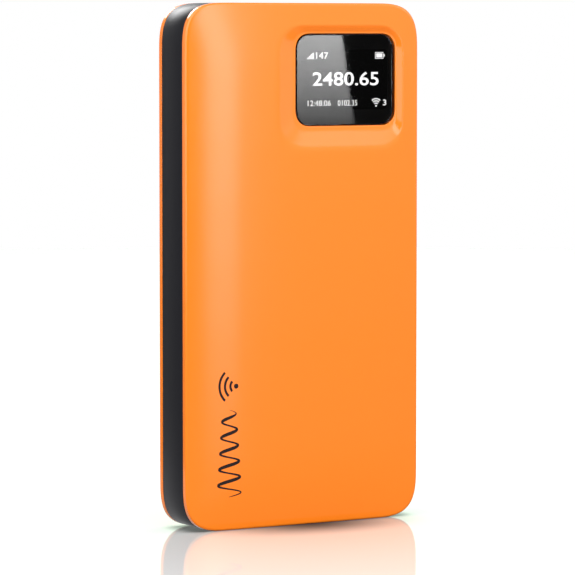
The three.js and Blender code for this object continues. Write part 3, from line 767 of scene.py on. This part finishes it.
def material(name, color, roughness, grain, tint, bump=0.0, metallic=0.0, specular=0.5, **sockets):
    """A principled material with fine noise in its colour, roughness and surface.

    grain is the noise's size in millimetres, bump its height in millimetres and tint the share by
    which the colour varies.
    """
    if name in MATERIALS:
        return MATERIALS[name]
    made = bpy.data.materials.new(name)
    made.use_nodes = True
    nodes, links = made.node_tree.nodes, made.node_tree.links
    shader = nodes["Principled BSDF"]
    shader.inputs["Base Color"].default_value = (*color, 1)
    shader.inputs["Roughness"].default_value = roughness
    shader.inputs["Metallic"].default_value = metallic
    shader.inputs["Specular IOR Level"].default_value = specular
    for socket, value in sockets.items():
        shader.inputs[socket.replace("_", " ")].default_value = value
    place = nodes.new("ShaderNodeTexCoord").outputs["Object"]
    if bump:
        add_relief(nodes, links, shader, place, grain, bump)
    add_blotches(nodes, links, shader, place, color, roughness, grain, tint)
    MATERIALS[name] = made
    return made


def add_relief(nodes, links, shader, place, grain, bump):
    """Fine moulded grain in the surface."""
    noise = nodes.new("ShaderNodeTexNoise")
    noise.inputs["Scale"].default_value = 1 / (grain * MM)
    noise.inputs["Detail"].default_value = 3
    relief = nodes.new("ShaderNodeBump")
    relief.inputs["Strength"].default_value = 1
    relief.inputs["Distance"].default_value = bump * MM
    links.new(place, noise.inputs["Vector"])
    links.new(noise.outputs["Fac"], relief.inputs["Height"])
    links.new(relief.outputs["Normal"], shader.inputs["Normal"])


def add_blotches(nodes, links, shader, place, color, roughness, grain, tint):
    """Wide, faint blotches in the colour and the roughness."""
    blotch = nodes.new("ShaderNodeTexNoise")
    blotch.inputs["Scale"].default_value = 1 / (grain * 12 * MM)
    mix = nodes.new("ShaderNodeMix")
    mix.data_type = "RGBA"
    mix.inputs["A"].default_value = (*[c * (1 - tint) for c in color], 1)
    mix.inputs["B"].default_value = (*[min(1, c * (1 + tint)) for c in color], 1)
    rough = nodes.new("ShaderNodeMapRange")
    rough.inputs["To Min"].default_value = roughness * 0.92
    rough.inputs["To Max"].default_value = min(1, roughness * 1.08)
    links.new(place, blotch.inputs["Vector"])
    links.new(blotch.outputs["Fac"], mix.inputs["Factor"])
    links.new(mix.outputs["Result"], shader.inputs["Base Color"])
    links.new(blotch.outputs["Fac"], rough.inputs["Value"])
    links.new(rough.outputs["Result"], shader.inputs["Roughness"])


def orange_plastic():
    return material("orange_plastic", (0.93, 0.209, 0.0108), 0.14, grain=0.25, bump=0.0012, tint=0.012)


def band_plastic():
    color = (0.0085, 0.0084, 0.0115)
    return material("band_plastic", color, 0.4, grain=0.3, bump=0.003, tint=0.06, specular=0.18)


def button_plastic():
    return material("button_plastic", (0.02, 0.0195, 0.022), 0.34, grain=0.25, bump=0.002, tint=0.05)


def window_glass():
    return material("window_glass", (1, 1, 1), 0.02, 8, 0.001, Transmission_Weight=1.0, IOR=1.5)


def print_ink(name, color):
    return material(name, color, 0.5, grain=0.4, bump=0.002, tint=0.1, specular=0.2)


def lit_pixels():
    made = material("lit_pixels", (0.9, 0.9, 0.9), 0.5, grain=0.3, tint=0.02)
    shader = made.node_tree.nodes["Principled BSDF"]
    shader.inputs["Emission Color"].default_value = (1, 1, 1, 1)
    shader.inputs["Emission Strength"].default_value = 1.15
    return made


def slot_materials():
    """One procedural material for each material slot of the record."""
    finishes = {
        "orange_shell": orange_plastic(),
        "black_band": button_plastic(),
        "glass": window_glass(),
        "lcd_glass": material("lcd_glass", (0.004, 0.004, 0.005), 0.7, grain=2, tint=0.1, specular=0.0),
    }
    for slot, (color, roughness, metallic, grain, bump, tint) in INNER_FINISHES.items():
        finishes[slot] = material(slot, color, roughness, grain, tint, bump, metallic)
    return finishes


def dress_cad_nodes():
    """Gives every CAD node the procedural material of its slot."""
    finishes = slot_materials()
    slots = {part["node"]: part["material_slot"] for part in frame["record"]["subparts"]}
    for name, obj in frame["nodes"].items():
        for socket in obj.material_slots:
            socket.material = finishes[slots[name]]


def finish_piece(obj, body, slot, finish, *replaced):
    obj.data.materials.clear()
    obj.data.materials.append(finish)
    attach(obj, body)
    if replaced:
        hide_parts(*replaced)
    return obj


# ------------------------------------------------------------------ studio and camera

CAMERA_YAW = math.radians(30.37)
CAMERA_PITCH = math.radians(4.17)
CAMERA_PLACE = (-437.8, -746.0, 121.1)
CAMERA_LENS = 220.0
FLOOR_RADIUS = 1100
FLOOR_GLOW = 1.1
FLOOR_MIRROR_ROUGHNESS = 0.045
# Distance from the middle, and the share that the floor mirrors there.
MIRROR_NEAR = (30, 0.49)
MIRROR_FAR = (150, 0.28)
# The painted shadow under the front edge: a dark ellipse painted on the floor.
SHADE_CENTRE = (2, -8)
SHADE_REACH = (34, 20)
SHADE_DEPTH = 0.12
# The stacks of lights that the face mirrors.
STACK_PLACE = -207
STACK_FOOT = -30
STACK_FULL = 120
STACK_TOP = 210
STACK_COUNT = 12
BACKDROP_DISTANCE = 3000
BACKDROP_SIZE = 4000
# The glare on the window: the card's place, and (x, z) corners on the window.
GLARE_CARD_Y = -300
GLARE_CORNERS = ((-8, 90), (16.29, 90), (10.7, 124), (-8, 124))
GLARE_FOOT = 94
GLARE_GLOW = 6.0
WORLD_FILL = 0.2
WORLD_SHINE = 0.03


def make_camera():
    data = bpy.data.cameras.new("camera")
    data.lens = CAMERA_LENS
    data.sensor_width = 36
    data.clip_start = 0.05
    data.clip_end = 50
    camera = bpy.data.objects.new("camera", data)
    camera.location = [c * MM for c in CAMERA_PLACE]
    camera.rotation_euler = (math.pi / 2 - CAMERA_PITCH, 0, -CAMERA_YAW)
    bpy.context.scene.collection.objects.link(camera)
    bpy.context.scene.camera = camera


def mix_shaders(tree, share, first, second):
    """The output of a mix of two shader nodes' outputs. share is a number or a socket."""
    mix = tree.nodes.new("ShaderNodeMixShader")
    if isinstance(share, float):
        mix.inputs["Fac"].default_value = share
    else:
        tree.links.new(share, mix.inputs["Fac"])
    tree.links.new(first, mix.inputs[1])
    tree.links.new(second, mix.inputs[2])
    return mix.outputs[0]


def shader_node(tree, kind, **sockets):
    """The output of a new shader node with some of its sockets set."""
    node = tree.nodes.new(kind)
    for socket, value in sockets.items():
        node.inputs[socket].default_value = value
    return node.outputs[0]


def grey(value):
    return (value, value, value, 1)


def make_floor():
    """A round floor with a light of its own, which the object doesn't receive."""
    turns = [2 * math.pi * i / 96 for i in range(96)]
    rim = [(FLOOR_RADIUS * math.cos(a), FLOOR_RADIUS * math.sin(a), 0) for a in turns]
    floor = make_object("floor", rim, [tuple(range(96))])
    floor.data.materials.append(floor_material())
    overhead = area_light("floor_light", (0, -100, 2000), (0, -100, 0), (2600, 2600), 66)
    only_floor = bpy.data.collections.new("floor_only")
    only_floor.objects.link(floor)
    overhead.light_linking.receiver_collection = only_floor


def floor_material():
    """White with a soft mirror to the camera, dull to everything else, and clear from below. A contact
    shadow is painted on it under the object.
    """
    made = bpy.data.materials.new("white_gloss_floor")
    made.use_nodes = True
    tree = made.node_tree
    tree.nodes.clear()
    place = tree.nodes.new("ShaderNodeNewGeometry")
    path = tree.nodes.new("ShaderNodeLightPath")
    glow = shader_node(tree, "ShaderNodeEmission", Strength=FLOOR_GLOW)
    paint = shader_node(tree, "ShaderNodeBsdfDiffuse", Color=grey(0.95))
    polish = {"Roughness": FLOOR_MIRROR_ROUGHNESS, "Color": (1, 1.3, 1, 1)}
    shine = shader_node(tree, "ShaderNodeBsdfGlossy", **polish)
    dull = shader_node(tree, "ShaderNodeBsdfDiffuse", Color=grey(0.18))
    # A dark brown diffuse, painted on the floor as the contact shadow.
    shadow = shader_node(tree, "ShaderNodeBsdfDiffuse", Color=(0.02, 0.015, 0.01, 1))
    clear = shader_node(tree, "ShaderNodeBsdfTransparent")
    white = mix_shaders(tree, 0.65, glow, paint)
    glossy = mix_shaders(tree, mirror_share(tree, place.outputs["Position"]), white, shine)
    seen = mix_shaders(tree, path.outputs["Is Camera Ray"], dull, glossy)
    # Paints the contact shadow over the floor where the mask is low.
    shaded = mix_shaders(tree, painted_contact_shadow(tree, place.outputs["Position"]), shadow, seen)
    both_sides = mix_shaders(tree, place.outputs["Backfacing"], shaded, clear)
    out = tree.nodes.new("ShaderNodeOutputMaterial")
    tree.links.new(both_sides, out.inputs["Surface"])
    return made


def mirror_share(tree, position):
    """How much the floor mirrors, which fades with the distance from the object."""
    reach = tree.nodes.new("ShaderNodeVectorMath")
    reach.operation = "LENGTH"
    fade = tree.nodes.new("ShaderNodeMapRange")
    fade.inputs["From Min"].default_value = MIRROR_NEAR[0] * MM
    fade.inputs["From Max"].default_value = MIRROR_FAR[0] * MM
    fade.inputs["To Min"].default_value = MIRROR_NEAR[1]
    fade.inputs["To Max"].default_value = MIRROR_FAR[1]
    tree.links.new(position, reach.inputs[0])
    tree.links.new(reach.outputs["Value"], fade.inputs["Value"])
    return fade.outputs["Result"]


def painted_contact_shadow(tree, position):
    """Mask of the painted contact shadow: 1 on the open floor, and lower where the object touches it,
    from ambient occlusion and the painted ellipse.
    """
    # Ambient occlusion darkens the floor close to the object: painted shade.
    near = tree.nodes.new("ShaderNodeAmbientOcclusion")
    near.inputs["Distance"].default_value = 5 * MM
    depth = tree.nodes.new("ShaderNodeMapRange")
    depth.inputs["From Min"].default_value = 0.2
    depth.inputs["From Max"].default_value = 0.8
    depth.inputs["To Min"].default_value = 0.5
    both = tree.nodes.new("ShaderNodeMath")
    both.operation = "MULTIPLY"
    tree.links.new(near.outputs["AO"], depth.inputs["Value"])
    tree.links.new(depth.outputs["Result"], both.inputs[0])
    tree.links.new(painted_shadow_ellipse(tree, position), both.inputs[1])
    return both.outputs[0]


def painted_shadow_ellipse(tree, position):
    """Mask of the painted shadow ellipse: low on the floor along the middle of the front edge, and 1
    away from it.
    """
    shift = tree.nodes.new("ShaderNodeVectorMath")
    shift.operation = "SUBTRACT"
    shift.inputs[1].default_value = (*[c * MM for c in SHADE_CENTRE], 0)
    squeeze = tree.nodes.new("ShaderNodeVectorMath")
    squeeze.operation = "MULTIPLY"
    squeeze.inputs[1].default_value = (*[1 / (r * MM) for r in SHADE_REACH], 0)
    reach = tree.nodes.new("ShaderNodeVectorMath")
    reach.operation = "LENGTH"
    fade = tree.nodes.new("ShaderNodeMapRange")
    fade.interpolation_type = "SMOOTHSTEP"
    fade.inputs["To Min"].default_value = SHADE_DEPTH
    tree.links.new(position, shift.inputs[0])
    tree.links.new(shift.outputs[0], squeeze.inputs[0])
    tree.links.new(squeeze.outputs[0], reach.inputs[0])
    tree.links.new(reach.outputs["Value"], fade.inputs["Value"])
    return fade.outputs["Result"]


def area_light(name, place, target, size, power):
    """A white rectangular light that the camera doesn't see."""
    data = bpy.data.lights.new(name, "AREA")
    data.shape = "RECTANGLE"
    data.size, data.size_y = [s * MM for s in size]
    data.energy = power
    light = bpy.data.objects.new(name, data)
    light.location = [c * MM for c in place]
    aim = Vector(target) - Vector(place)
    light.rotation_euler = aim.to_track_quat("-Z", "Y").to_euler()
    light.visible_camera = False
    bpy.context.scene.collection.objects.link(light)
    return light


def make_world():
    """White to the camera, and dim to everything else, so that the lights below shape the object."""
    world = bpy.data.worlds.new("white_studio")
    world.use_nodes = True
    bpy.context.scene.world = world
    tree = world.node_tree
    tree.nodes.clear()
    path = tree.nodes.new("ShaderNodeLightPath")
    seen, lighting, shine = (
        shader_node(tree, "ShaderNodeBackground", Color=grey(1), Strength=strength)
        for strength in (1.0, WORLD_FILL, WORLD_SHINE)
    )
    unseen = mix_shaders(tree, path.outputs["Is Glossy Ray"], lighting, shine)
    everything = mix_shaders(tree, path.outputs["Is Camera Ray"], unseen, seen)
    out = tree.nodes.new("ShaderNodeOutputWorld")
    tree.links.new(everything, out.inputs["Surface"])


def light_from(name, azimuth, elevation, distance, size, power):
    """An area light aimed at the object. Azimuth 0 is in front of the display, 90 on its right."""
    turn, rise = math.radians(azimuth), math.radians(elevation)
    target = (0, 0, 64)
    flat = distance * math.cos(rise)
    place = (flat * math.sin(turn), -flat * math.cos(turn), target[2] + distance * math.sin(rise))
    return area_light(name, place, target, size, power)


def make_lights(lens):
    bpy.context.scene.view_settings.view_transform = "Standard"
    shaped = [
        light_from("key", -35, 24, 800, (1100, 880), 8.2),
        light_from("front_fill", 10, 40, 900, (2000, 800), 8.0),
        light_from("left_fill", -100, 15, 1000, (600, 600), 3.2),
        light_from("right_fill", 70, 8, 900, (800, 700), 2.2),
        light_from("back_left", -150, 0, 1000, (500, 900), 0.8),
        light_from("back_fill", 180, 35, 1400, (700, 700), 14.0),
    ]
    floor = bpy.data.objects["floor"]
    others = all_but("all_but_window_and_floor", lens, floor)
    for light in shaped:
        light.light_linking.receiver_collection = others
    for light in fading_stack("strip", 63, 91, 5.8) + fading_stack("sheen", 91, 220, 1.0):
        light.light_linking.receiver_collection = others
        light.light_linking.blocker_collection = all_but("all_but_floor", floor)
    low_card("rear_low_card", -90, 70, -6, 120, 0.9).light_linking.receiver_collection = others
    low_card("front_low_card", -60, 250, -300, -12, 0.35).light_linking.receiver_collection = others


def low_card(name, x_from, x_to, y_from, y_to, strength):
    """A card on the floor that the shells and the band mirror. From below it is clear."""
    z = 0.1
    corners = [(x_from, y_from, z), (x_to, y_from, z), (x_to, y_to, z), (x_from, y_to, z)]
    return card(name, corners, upward_glow(name, strength))


def all_but(name, *excluded):
    """A light linking collection that holds everything but some objects."""
    if name in bpy.data.collections:
        return bpy.data.collections[name]
    made = bpy.data.collections.new(name)
    for index, obj in enumerate(excluded):
        made.objects.link(obj)
        made.collection_objects[index].light_linking.link_state = "EXCLUDE"
    return made


def fading_stack(name, x_from, x_to, brightest):
    """Lights stacked up in front of the face, which mirrors them. They fade towards the foot."""
    height = (STACK_TOP - STACK_FOOT) / STACK_COUNT
    x = (x_from + x_to) / 2
    lights = []
    for i in range(STACK_COUNT):
        z = STACK_FOOT + height * (i + 0.5)
        glow = brightest * min(1, (z - STACK_FOOT) / (STACK_FULL - STACK_FOOT))
        power = glow * math.pi * (x_to - x_from) * height * MM**2
        size = (x_to - x_from, height)
        light = area_light(f"{name}_{i + 1}", (x, STACK_PLACE, z), (x, 0, z), size, power)
        light.visible_diffuse = False
        lights.append(light)
    return lights


def card(name, corners, finish):
    """A flat emitting card that the camera and the diffuse light don't see."""
    made = make_object(name, corners, [(0, 1, 2, 3)])
    made.data.materials.append(finish)
    made.visible_camera = False
    made.visible_shadow = False
    made.visible_diffuse = False
    return made


def upward_glow(name, strength):
    """A glow on the upper side only."""
    made = glow_material(name, strength)
    tree = made.node_tree
    side = tree.nodes.new("ShaderNodeNewGeometry").outputs["Backfacing"]
    clear = shader_node(tree, "ShaderNodeBsdfTransparent")
    mix = mix_shaders(tree, side, tree.nodes["Emission"].outputs[0], clear)
    tree.links.new(mix, tree.nodes["Material Output"].inputs["Surface"])
    return made


def glow_material(name, strength):
    made = bpy.data.materials.new(name)
    made.use_nodes = True
    tree = made.node_tree
    tree.nodes.clear()
    out = tree.nodes.new("ShaderNodeOutputMaterial")
    glow = shader_node(tree, "ShaderNodeEmission", Strength=strength)
    tree.links.new(glow, out.inputs["Surface"])
    return made


def make_glare_card(lens):
    """The lit card that the flat window mirrors. Only the window sees it.

    Its corners are placed so that the main camera sees them at GLARE_CORNERS on the window.
    """
    mirrored = Vector((CAMERA_PLACE[0], 2 * LENS_FRONT - CAMERA_PLACE[1], CAMERA_PLACE[2]))

    def card_point(x, z):
        point = Vector((x, LENS_FRONT, z))
        reach = (GLARE_CARD_Y - mirrored.y) / (point.y - mirrored.y)
        return mirrored + (point - mirrored) * reach

    corners = [card_point(*place) for place in GLARE_CORNERS]
    finish = fading_glow("glare_card", card_point(0, GLARE_FOOT).z, corners[2].z, GLARE_GLOW)
    glare = card("glare_card", corners, finish)
    receivers = bpy.data.collections.new("window_only")
    receivers.objects.link(lens)
    glare.light_linking.receiver_collection = receivers


def fading_glow(name, low, high, bright):
    """A glow that fades to nothing from a card's top to its foot."""
    made = glow_material(name, bright)
    nodes, links = made.node_tree.nodes, made.node_tree.links
    place = nodes.new("ShaderNodeTexCoord")
    split = nodes.new("ShaderNodeSeparateXYZ")
    fade = nodes.new("ShaderNodeMapRange")
    fade.inputs["From Min"].default_value = low * MM
    fade.inputs["From Max"].default_value = high * MM
    fade.inputs["To Min"].default_value = 0
    fade.inputs["To Max"].default_value = bright
    links.new(place.outputs["Object"], split.inputs[0])
    links.new(split.outputs["Z"], fade.inputs["Value"])
    links.new(fade.outputs["Result"], nodes["Emission"].inputs["Strength"])
    return made


def make_backdrop():
    """A white sheet far behind the object, which only the floor's mirror sees."""
    middle = Vector((math.sin(CAMERA_YAW), math.cos(CAMERA_YAW), 0)) * BACKDROP_DISTANCE
    across = Vector((math.cos(CAMERA_YAW), -math.sin(CAMERA_YAW), 0)) * BACKDROP_SIZE / 2
    low, high = Vector((0, 0, -100)), Vector((0, 0, BACKDROP_SIZE - 100))
    left, right = middle - across, middle + across
    corners = [left + low, right + low, right + high, left + high]
    card("backdrop", corners, glow_material("backdrop_white", 1.0))


make_camera()
make_world()
make_floor()
make_backdrop()
dress_cad_nodes()
front_shell()
rear_shell()
band()
power_button()
window = display_window()
make_lights(window)
make_glare_card(window)
print_mask()
display_content()
front_mark()
